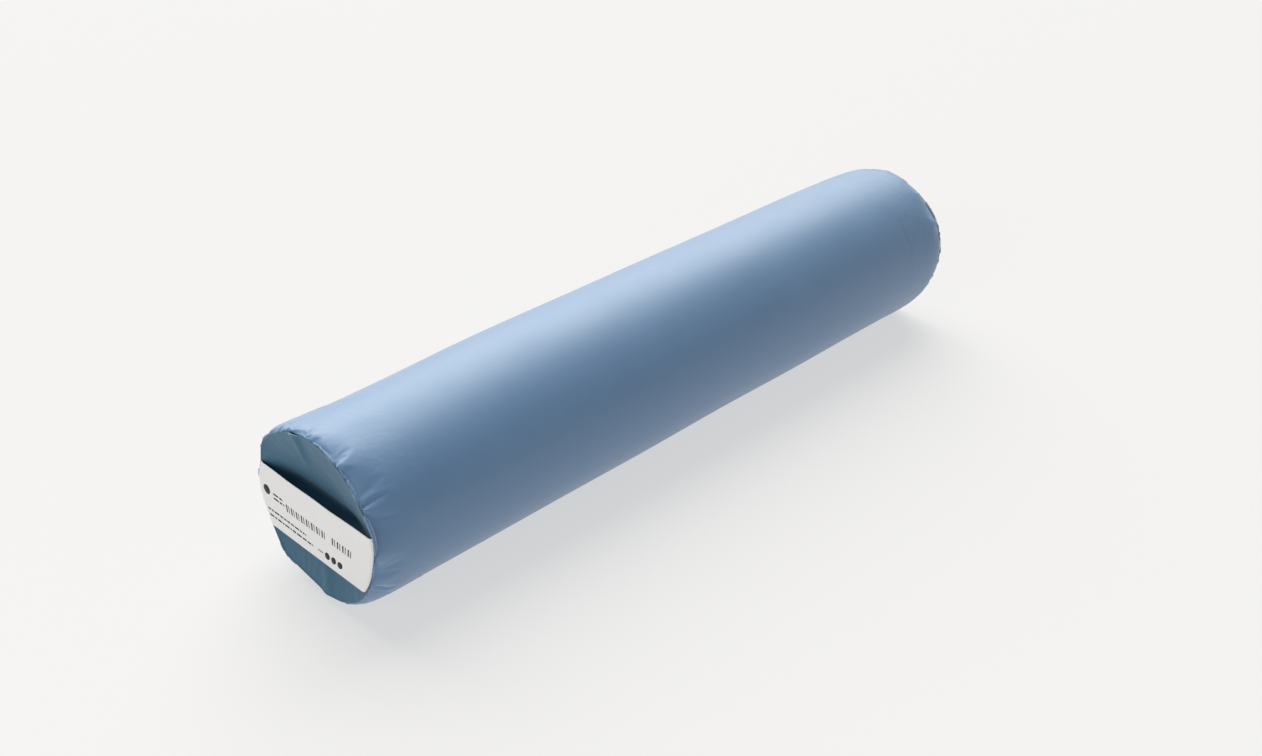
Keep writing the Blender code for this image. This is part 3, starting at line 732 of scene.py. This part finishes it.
# %% [markdown]
# ## The printing on the label
#
# The printing is only a pattern here: a dot, a row of upright ticks, two lines of small dashes and three
# dots. It says nothing. Each mark is a small flat mesh that lies on the satin, as ink does.

# %% Marks in ink
INK_RISE = 0.04 * MM
ink, _, _ = new_material("black_screen_print_ink", Base_Color=linear("#26282B"), Roughness=0.7)


def mark_outline(kind, across, height, width, tall):
    """The points of a bar or a round mark, in mm from the band's back edge and above its bottom."""
    if kind == "bar":
        corners = [(0, 0), (width, 0), (width, tall), (0, tall)]
        return [(across + x, height + y) for x, y in corners]
    angles = np.linspace(0, math.tau, 24, endpoint=False)
    return [(across + width / 2 * math.cos(a), height + tall / 2 * math.sin(a)) for a in angles]


MARKS = [("round", 7.0, 19.5, 5.0, 5.0)]
for slot in range(13):
    if slot != 8:
        MARKS += [("bar", 22.0 + slot * 3.9, 14.8, 0.9, 4.0), ("bar", 23.9 + slot * 3.9, 14.8, 0.5, 4.0)]
for low, start, end in ((19.0, 12.0, 20.0), (16.6, 12.0, 20.5), (8.6, 4.0, 36.0), (5.4, 3.5, 41.0)):
    across = start
    while across < end:
        dash = rng.uniform(1.2, 4.2)
        MARKS.append(("bar", across, low, min(dash, end - across), 0.9))
        across += dash + 0.8
MARKS += [("bar", 45.5, 5.8, 4.0, 0.45)] + [("round", 53.0 + 5.2 * dot, 5.8, 4.0, 4.0) for dot in range(3)]
print(len(MARKS), "marks")

# %% The printing as one mesh
ink_points, ink_faces = [], []
band_width = ring_half_width(0.0, True) - ring_half_width(0.0, False)
for mark in MARKS:
    outline = np.array(mark_outline(*mark)) * MM
    on_band = on_label(outline[:, 0] / band_width, LABEL_BOTTOM + outline[:, 1])
    on_band[:, 0] -= LABEL_THICK + INK_RISE
    ink_faces.append(tuple(range(len(ink_points), len(ink_points) + len(outline))))
    ink_points += list(on_band)
printing = link_mesh("label_printing", ink_points, ink_faces, ink)
with_modifier(printing, "SOLIDIFY", thickness=INK_RISE * 2, offset=-1)
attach(printing, "root")

# %% [markdown]
# ## Threads and wires
#
# Stitches and the zip's coils are round and thin, so they are curves with a bevel, turned into a mesh.
# One function makes any number of strands as one piece.

# %% Strands
def make_strands(name, paths, diameter, material, replaced=(), sides=1):
    """Round strands along the given paths, as one piece on the root body."""
    line = bpy.data.curves.new(name, "CURVE")
    line.dimensions, line.use_fill_caps = "3D", True
    line.bevel_depth, line.bevel_resolution = diameter / 2, sides
    for path in paths:
        spline = line.splines.new("POLY")
        spline.points.add(len(path) - 1)
        points = np.column_stack([path, np.ones(len(path))])
        spline.points.foreach_set("co", points.astype(np.float32).ravel())
    drawn = bpy.data.objects.new(name + "_line", line)
    bpy.context.scene.collection.objects.link(drawn)
    mesh = bpy.data.meshes.new_from_object(drawn.evaluated_get(bpy.context.evaluated_depsgraph_get()))
    bpy.data.objects.remove(drawn)
    mesh.shade_smooth()
    mesh.materials.clear()
    mesh.materials.append(material)
    strands = bpy.data.objects.new(name, mesh)
    bpy.context.scene.collection.objects.link(strands)
    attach(strands, "root")
    if replaced:
        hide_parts(*replaced)
    print(f"{name}: {len(paths)} strands, {len(mesh.polygons)} faces")
    return strands


# %% [markdown]
# ### Spun polyester thread
#
# Sewing thread is spun from short fibres and then twisted, so it is matt, with slanting light and dark
# bands. The real twist repeats about every 0.6 mm, and it is drawn at 0.9 mm.

# %% Thread material
thread, tree, shader = new_material("spun_polyester_thread", Roughness=0.75, Sheen_Weight=0.3)
place = add_node(tree, "ShaderNodeTexCoord").outputs["Object"]
twist = add_node(
    tree, "ShaderNodeTexWave", {"bands_direction": "DIAGONAL"}, Vector=place, Scale=1 / (0.9 * MM) / math.tau,
    Distortion=1.5, Detail=1.0,
)
shade = add_node(tree, "ShaderNodeMix", {"data_type": "RGBA"}, Factor=twist.outputs["Fac"])
shade.inputs[6].default_value, shade.inputs[7].default_value = linear("#3A5A78"), linear("#557897")
tree.links.new(shade.outputs[2], shader.inputs["Base Color"])
bump = add_node(tree, "ShaderNodeBump", Height=twist.outputs["Fac"], Strength=0.5, Distance=0.05 * MM)
tree.links.new(bump.outputs[0], shader.inputs["Normal"])

# %% The end seams' stitches
for side, name, bumps in ((-1, "label", LABEL_RIM_BUMPS), (1, "plain", PLAIN_RIM_BUMPS)):
    paths = []
    for turn in (np.arange(STITCHES) + 0.5) * math.tau / STITCHES:
        rim = rim_radius(np.array(turn), bumps)
        steps_out = np.array([(-0.9, -0.6), (-0.4, -0.05), (0.05, -0.12), (0.2, -0.7), (-0.5, -1.2)]) * MM
        paths.append(on_section(side * (SEAM_X + steps_out[:, 0]), rim + steps_out[:, 1], turn))
    make_strands(
        f"end_seam_stitches_{name}", paths, 0.3 * MM, thread, [f"end_seam_thread_{name}"]
    )

# %% [markdown]
# ### The zip's stitching
#
# A line of lockstitch holds the tapes to the cover, all round the opening: stitches 2.5 mm long, each of
# which dives into the fabric at both ends. The cover's two edges are joined beyond the opening, with
# stitches that lie in the groove.

# %% Stitches along a line
STITCH_LENGTH, STITCH_GAP = 2.5 * MM, 0.4 * MM
THREAD = 0.36 * MM


def stitch_run(start, end, surface, sink=0.22 * MM):
    """Stitches on the roll's surface between two places, each given as along the roll and down round it."""
    start, end = np.array(start), np.array(end)
    count = max(1, round(np.linalg.norm(end - start) / (STITCH_LENGTH + STITCH_GAP)))
    pitch = (end - start) / count
    runs = []
    for i in range(count):
        share = np.linspace(0, 1, 7)[:, None] * (1 - STITCH_GAP / np.linalg.norm(pitch))
        places = start + pitch * (i + share)
        lift = np.array([-1, 0.1, 0.55, 0.7, 0.55, 0.1, -1]) * sink
        runs.append(on_roll(places[:, 0], places[:, 1], surface + lift))
    return runs


# %% The opening's stitching and the closing seams
far_x, line_y = OPENING_END + STITCH_SETBACK, STITCH_LINE
corners = [(-far_x, -line_y), (far_x, -line_y), (far_x, line_y), (-far_x, line_y), (-far_x, -line_y)]
paths = []
for start, end in zip(corners[:-1], corners[1:]):
    paths += stitch_run(start, end, RADIUS + 0.02 * MM)
make_strands("zip_lockstitch", paths, THREAD, thread, ["zip_topstitch"])
for side, name in ((-1, "label"), (1, "plain")):
    start, end = sorted((side * (OPENING_END + 3 * MM), side * (SEAM_X - SHOULDER - 4 * MM)))
    paths = stitch_run((start, 0), (end, 0), RADIUS - 0.45 * MM)
    replaced = [f"closing_seam_thread_{name}"]
    make_strands(f"closing_seam_stitches_{name}", paths, THREAD, thread, replaced)

# %% [markdown]
# ## The foam core
#
# A roll cut from flexible polyurethane foam fills the cover. It is out of sight, but the part is whole
# only with it. Its skin is open cells, cut through, so its material is a fine field of small pits, drawn
# darker towards their middles as painted shade in the hollows.

# %% Foam, its shape
FOAM_RADIUS = zip_extent("zip_tape_upper")[1][2] - 0.95 * MM
CHANNEL = zip_extent("zip_slider")[0][2] - 0.4 * MM
FOAM_EDGE = 3 * MM
FOAM_COLUMNS, FOAM_ROWS = 144, 20
COVER_BELOW = 1.2 * MM  # what lies under the foam where it rests
foam_turns = np.linspace(0, math.tau, FOAM_COLUMNS, endpoint=False)
edge_steps = np.linspace(0, math.pi / 2, 6)
rounded_edge = -FOAM_END + FOAM_EDGE * (1 - np.cos(edge_steps))
foam_x = np.concatenate([rounded_edge, np.linspace(-FOAM_END + 10 * MM, 0, FOAM_ROWS)])
inset = np.concatenate([FOAM_EDGE * (1 - np.sin(edge_steps)), np.zeros(FOAM_ROWS)])
foam_x, inset = np.concatenate([foam_x, -foam_x[-2::-1]]), np.concatenate([inset, inset[-2::-1]])
from_channel = np.cos(foam_turns - ZIP_TURN)
to_channel = CHANNEL / np.maximum(from_channel, 0.01)
foam_radius = np.where(from_channel > 0, np.minimum(FOAM_RADIUS, to_channel), FOAM_RADIUS)
uneven = rng.normal(size=(len(foam_x), len(foam_turns))) * 0.06 * MM
inset = inset[:, None] + taper(foam_x[:, None], foam_turns[None, :])
foam_points = on_section(foam_x[:, None], foam_radius[None, :] - inset + uneven, foam_turns[None, :])
foam_points[..., 2] = np.maximum(foam_points[..., 2], COVER_BELOW)
foam_faces = grid_faces(len(foam_x), len(foam_turns))
last_ring = (len(foam_x) - 1) * FOAM_COLUMNS
foam_faces += [tuple(range(FOAM_COLUMNS))[::-1], tuple(range(last_ring, last_ring + FOAM_COLUMNS))]

# %% Open-cell polyurethane foam
foam_material, tree, shader = new_material(
    "open_cell_polyurethane_foam", Roughness=0.95, Specular_IOR_Level=0.2, Subsurface_Weight=0.15
)
shader.inputs["Subsurface Radius"].default_value = (4 * MM, 3 * MM, 2 * MM)
place = add_node(tree, "ShaderNodeTexCoord").outputs["Object"]
cells = add_node(tree, "ShaderNodeTexVoronoi", Vector=place, Scale=1 / (1.2 * MM))  # real cells: about 0.6 mm
# painted shade: the mix below draws each cell darker towards its middle, for the shade in its hollow
pit_depth_and_shade = add_node(tree, "ShaderNodeMapRange", Value=cells.outputs["Distance"], From_Min=0.1, From_Max=0.5)
shade = add_node(tree, "ShaderNodeMix", {"data_type": "RGBA"}, Factor=pit_depth_and_shade.outputs[0])
shade.inputs[6].default_value, shade.inputs[7].default_value = linear("#B9A77E"), linear("#E6DBBC")
tree.links.new(shade.outputs[2], shader.inputs["Base Color"])
bump = add_node(tree, "ShaderNodeBump", Height=pit_depth_and_shade.outputs[0], Strength=0.6, Distance=0.4 * MM)
tree.links.new(bump.outputs[0], shader.inputs["Normal"])
foam = link_mesh("foam_roll", foam_points.reshape(-1, 3), foam_faces, foam_material)
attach(foam, "root")
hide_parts("foam_core")
print(f"foam {2 * FOAM_RADIUS / MM:.1f} mm across")

# %% [markdown]
# ## The zip's tapes
#
# Each half of the zip is a woven polyester tape. It lies under the cover and follows the roll, and shows
# between the hem and the coil. Its edge under the coil is a thicker cord-like selvage. Its herringbone
# weave is drawn with ribs 0.7 mm apart instead of the real 0.3 mm.

# %% Woven polyester tape
tape_material, tree, shader = new_material("woven_polyester_tape", Roughness=0.7, Sheen_Weight=0.35)
place = add_node(tree, "ShaderNodeTexCoord").outputs["Object"]
parts = add_node(tree, "ShaderNodeSeparateXYZ", Vector=place)
ribs = thread_waves(tree, parts.outputs["X"], parts.outputs["Z"], 0.7 * MM)
tone = add_node(tree, "ShaderNodeMapRange", Value=ribs.outputs[0], From_Min=-1.0, From_Max=1.0)
shade = add_node(tree, "ShaderNodeMix", {"data_type": "RGBA"}, Factor=tone.outputs[0])
shade.inputs[6].default_value, shade.inputs[7].default_value = linear("#3C5A78"), linear("#507292")
tree.links.new(shade.outputs[2], shader.inputs["Base Color"])
bump = add_node(tree, "ShaderNodeBump", Height=tone.outputs[0], Strength=0.8, Distance=0.1 * MM)
tree.links.new(bump.outputs[0], shader.inputs["Normal"])

# %% Two tapes
TAPE_ROWS, TAPE_COLUMNS = 121, 16
for name in ("upper", "lower"):
    low, high = zip_extent(f"zip_tape_{name}")
    near, far = (high[1], low[1]) if name == "upper" else (low[1], high[1])
    near *= 0.55  # the two selvages almost meet
    across = near + (far - near) * np.linspace(0, 1, TAPE_COLUMNS) ** 1.3
    rows_x = np.linspace(low[0], high[0], TAPE_ROWS)
    selvage = 0.12 * MM * np.exp(-(((across - near) / (1.0 * MM)) ** 2))
    ripple = 0.06 * MM * np.sin(rows_x[:, None] / (3.3 * MM)) * np.sin(across[None, :] / (2.5 * MM))
    tape_turn = ZIP_TURN - across[None, :] / RADIUS
    tape_out = high[2] - 0.25 * MM + ripple - selvage[None, :] - taper(rows_x[:, None], tape_turn)
    tape_points = on_roll(rows_x[:, None], across[None, :], tape_out)
    tape_faces = grid_faces(TAPE_ROWS, TAPE_COLUMNS, around=False, flip=name == "upper")
    tape = link_mesh(f"zip_tape_woven_{name}", tape_points.reshape(-1, 3), tape_faces, tape_material)
    with_modifier(tape, "SOLIDIFY", thickness=0.45 * MM, offset=0)
    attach(tape, "root")
    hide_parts(f"zip_tape_{name}")

# %% [markdown]
# ## The coils
#
# A coil zip's teeth are the turns of a nylon wire, wound like a spring and pressed oval. The two springs
# are set half a turn apart, so their turns pass between each other along the middle. A row of stitches
# along each one holds it to its tape.

# %% Drawn nylon monofilament
nylon_wire, tree, shader = new_material("drawn_nylon_monofilament", Roughness=0.35, Coat_Weight=0.2)
place = add_node(tree, "ShaderNodeTexCoord").outputs["Object"]
dye = add_node(tree, "ShaderNodeTexNoise", Vector=place, Scale=600.0, Detail=1.0)
shade = add_node(tree, "ShaderNodeMix", {"data_type": "RGBA"}, Factor=dye.outputs["Fac"])
shade.inputs[6].default_value, shade.inputs[7].default_value = linear("#33506E"), linear("#44648A")
tree.links.new(shade.outputs[2], shader.inputs["Base Color"])

# %% Winding them
COIL_PITCH = 1.3 * MM
WIRE = 0.55 * MM
TURN_POINTS = 12
for name, side in (("upper", -1), ("lower", 1)):
    low, high = zip_extent(f"zip_coil_{name}")
    out = max(abs(low[1]), abs(high[1])) - WIRE / 2
    inner = -0.25 * MM  # past the middle, between the other coil's turns
    middle_u, half_u = (out + inner) / 2, (out - inner) / 2
    middle_r, half_r = (low[2] + high[2]) / 2 - 0.05 * MM, (high[2] - low[2] - WIRE) / 2 - 0.05 * MM
    turns_wound = int((high[0] - low[0] - 2 * WIRE) / COIL_PITCH)
    phase = np.arange(turns_wound * TURN_POINTS) * math.tau / TURN_POINTS
    start_x = low[0] + WIRE + (COIL_PITCH / 2 if side > 0 else 0)
    wound = on_roll(
        start_x + COIL_PITCH * phase / math.tau,
        side * (middle_u - half_u * np.cos(phase)),
        middle_r + half_r * np.clip(1.25 * np.sin(phase), -1, 1),
    )
    make_strands(f"zip_coil_wound_{name}", [wound], WIRE, nylon_wire, [f"zip_coil_{name}"])
    along_coil = np.arange(low[0] + WIRE, high[0] - WIRE, COIL_PITCH / 4)
    dips = 0.04 * MM * np.cos((along_coil - start_x) / COIL_PITCH * math.tau)
    lie = middle_r + half_r + WIRE / 2 - 0.05 * MM + dips
    sewn_on = [on_roll(along_coil, side * 1.9 * MM, lie)]
    make_strands(f"zip_coil_stitching_{name}", sewn_on, 0.28 * MM, thread)

# %% [markdown]
# ## The zip's metal
#
# The slider, its pull and the stops are cast or pressed in zinc and nickel-plated. Nickel is a warm grey
# metal with a satin face after tumbling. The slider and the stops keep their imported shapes, and get a
# small bevel, because no cast edge is sharp, and because edges catch the light.

# %% Nickel-plated zinc
nickel, tree, shader = new_material("tumbled_nickel_plated_zinc", Metallic=1.0)
place = add_node(tree, "ShaderNodeTexCoord").outputs["Object"]
tumbling = add_node(tree, "ShaderNodeTexNoise", Vector=place, Scale=900.0, Detail=4.0, Roughness=0.6)
tarnish = add_node(tree, "ShaderNodeTexNoise", Vector=place, Scale=180.0, Detail=2.0)
shade = add_node(tree, "ShaderNodeMix", {"data_type": "RGBA"}, Factor=tarnish.outputs["Fac"])
shade.inputs[6].default_value, shade.inputs[7].default_value = linear("#BAB6AE"), linear("#C3BFB8")
tree.links.new(shade.outputs[2], shader.inputs["Base Color"])
rub = add_node(
    tree, "ShaderNodeMapRange",
    Value=tumbling.outputs["Fac"], From_Min=0.3, From_Max=0.7, To_Min=0.29, To_Max=0.34,
)
tree.links.new(rub.outputs[0], shader.inputs["Roughness"])
bump = add_node(tree, "ShaderNodeBump", Height=tumbling.outputs["Fac"], Strength=0.08, Distance=0.03 * MM)
tree.links.new(bump.outputs[0], shader.inputs["Normal"])

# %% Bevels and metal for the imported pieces
METAL = ["zip_slider", "zip_top_stop_upper", "zip_top_stop_lower", "zip_bottom_stop"]
for name in METAL:
    piece = frame["nodes"][name]
    piece.data.materials.clear()
    piece.data.materials.append(nickel)
    weld = piece.modifiers.new("weld", "WELD")
    weld.merge_threshold = 0.002 * MM
    bevel = piece.modifiers.new("bevel", "BEVEL")
    bevel.width, bevel.segments = 0.16 * MM, 2
    bevel.limit_method, bevel.angle_limit = "ANGLE", math.radians(35)
    bevel.harden_normals = True
print(len(METAL), "metal pieces")

# %% [markdown]
# ### The pull
#
# The pull is punched from a strip 1 mm thick: a tab with a round tip, a hole near the tip, and a window
# that leaves a narrow bar to turn in the slider's bail. Punching rounds the outline's corners, and
# tumbling rounds its edges. It is drawn again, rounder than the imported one, round the same hinge and at
# the same slope.

# %% The pull's outlines
PULL_HALF_WIDTH, PULL_THICK = 3.25 * MM, 1.0 * MM
PULL_WINDOW, WINDOW_HALF_WIDTH = (0.5 * MM, 3.8 * MM), 1.3 * MM
PULL_HOLE, HOLE_SETBACK = 1.25 * MM, 3.5 * MM
pull_points = np.array([vertex.co for vertex in frame["nodes"]["zip_pull"].data.vertices]) - HINGE
pull_points = pull_points @ ZIP_AXES.T
pull_tip = pull_points[pull_points[:, 0] > pull_points[:, 0].max() - 0.5 * MM].mean(axis=0)
PULL_SLOPE = math.atan2(-pull_tip[2], pull_tip[0])
PULL_LENGTH = math.hypot(pull_points[:, 0].max(), pull_tip[2])


def rounded(corners, radii, count=8):
    """An outline whose corners are rounded, each with its own radius."""
    outline = []
    for i, (corner, radius) in enumerate(zip(corners, radii)):
        corner = np.array(corner)
        before, after = np.array(corners[i - 1]) - corner, np.array(corners[(i + 1) % len(corners)]) - corner
        before, after = before / np.linalg.norm(before), after / np.linalg.norm(after)
        centre = corner + (before + after) * radius
        for share in np.linspace(0, math.pi / 2, count):
            outline.append(centre - after * radius * math.cos(share) - before * radius * math.sin(share))
    return np.array(outline)


def oblong(start, end, half_width):
    """The corners of an oblong along the pull."""
    return [(start, -half_width), (end, -half_width), (end, half_width), (start, half_width)]


tab_radii = [0.8 * MM, PULL_HALF_WIDTH, PULL_HALF_WIDTH, 0.8 * MM]
tab = rounded(oblong(-PULL_THICK / 2, PULL_LENGTH, PULL_HALF_WIDTH), tab_radii, 16)
window = rounded(oblong(*PULL_WINDOW, WINDOW_HALF_WIDTH), [0.25 * MM] * 4)
round_turns = np.linspace(0, math.tau, 32, endpoint=False)
hole = np.stack([np.cos(round_turns), np.sin(round_turns)], axis=-1) * PULL_HOLE
hole += (PULL_LENGTH - HOLE_SETBACK, 0)
print(f"pull {PULL_LENGTH / MM:.1f} mm long, at {math.degrees(PULL_SLOPE):.1f} degrees")

# %% The pull as a piece
plate = bmesh.new()
for outline in (tab, window, hole):
    ring = [plate.verts.new((*point, 0)) for point in outline]
    for i, vertex in enumerate(ring):
        plate.edges.new((ring[i - 1], vertex))
bmesh.ops.triangle_fill(plate, use_beauty=True, edges=plate.edges[:], normal=(0, 0, 1))
pull_mesh = bpy.data.meshes.new("zip_pull_punched")
plate.to_mesh(pull_mesh)
plate.free()
pull_mesh.materials.append(nickel)
pull = bpy.data.objects.new("zip_pull_punched", pull_mesh)
bpy.context.scene.collection.objects.link(pull)
with_modifier(pull, "SOLIDIFY", thickness=PULL_THICK, offset=0)
with_modifier(
    pull, "BEVEL",
    width=0.2 * MM, segments=3, limit_method="ANGLE", angle_limit=math.radians(40), harden_normals=True,
)
slope = Matrix.Rotation(PULL_SLOPE, 3, "Y")
pull.data.transform(Matrix.Translation(HINGE) @ (Matrix(ZIP_AXES).transposed() @ slope).to_4x4())
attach(pull, "pull")
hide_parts("zip_pull")
print(len(pull.data.polygons), "faces")
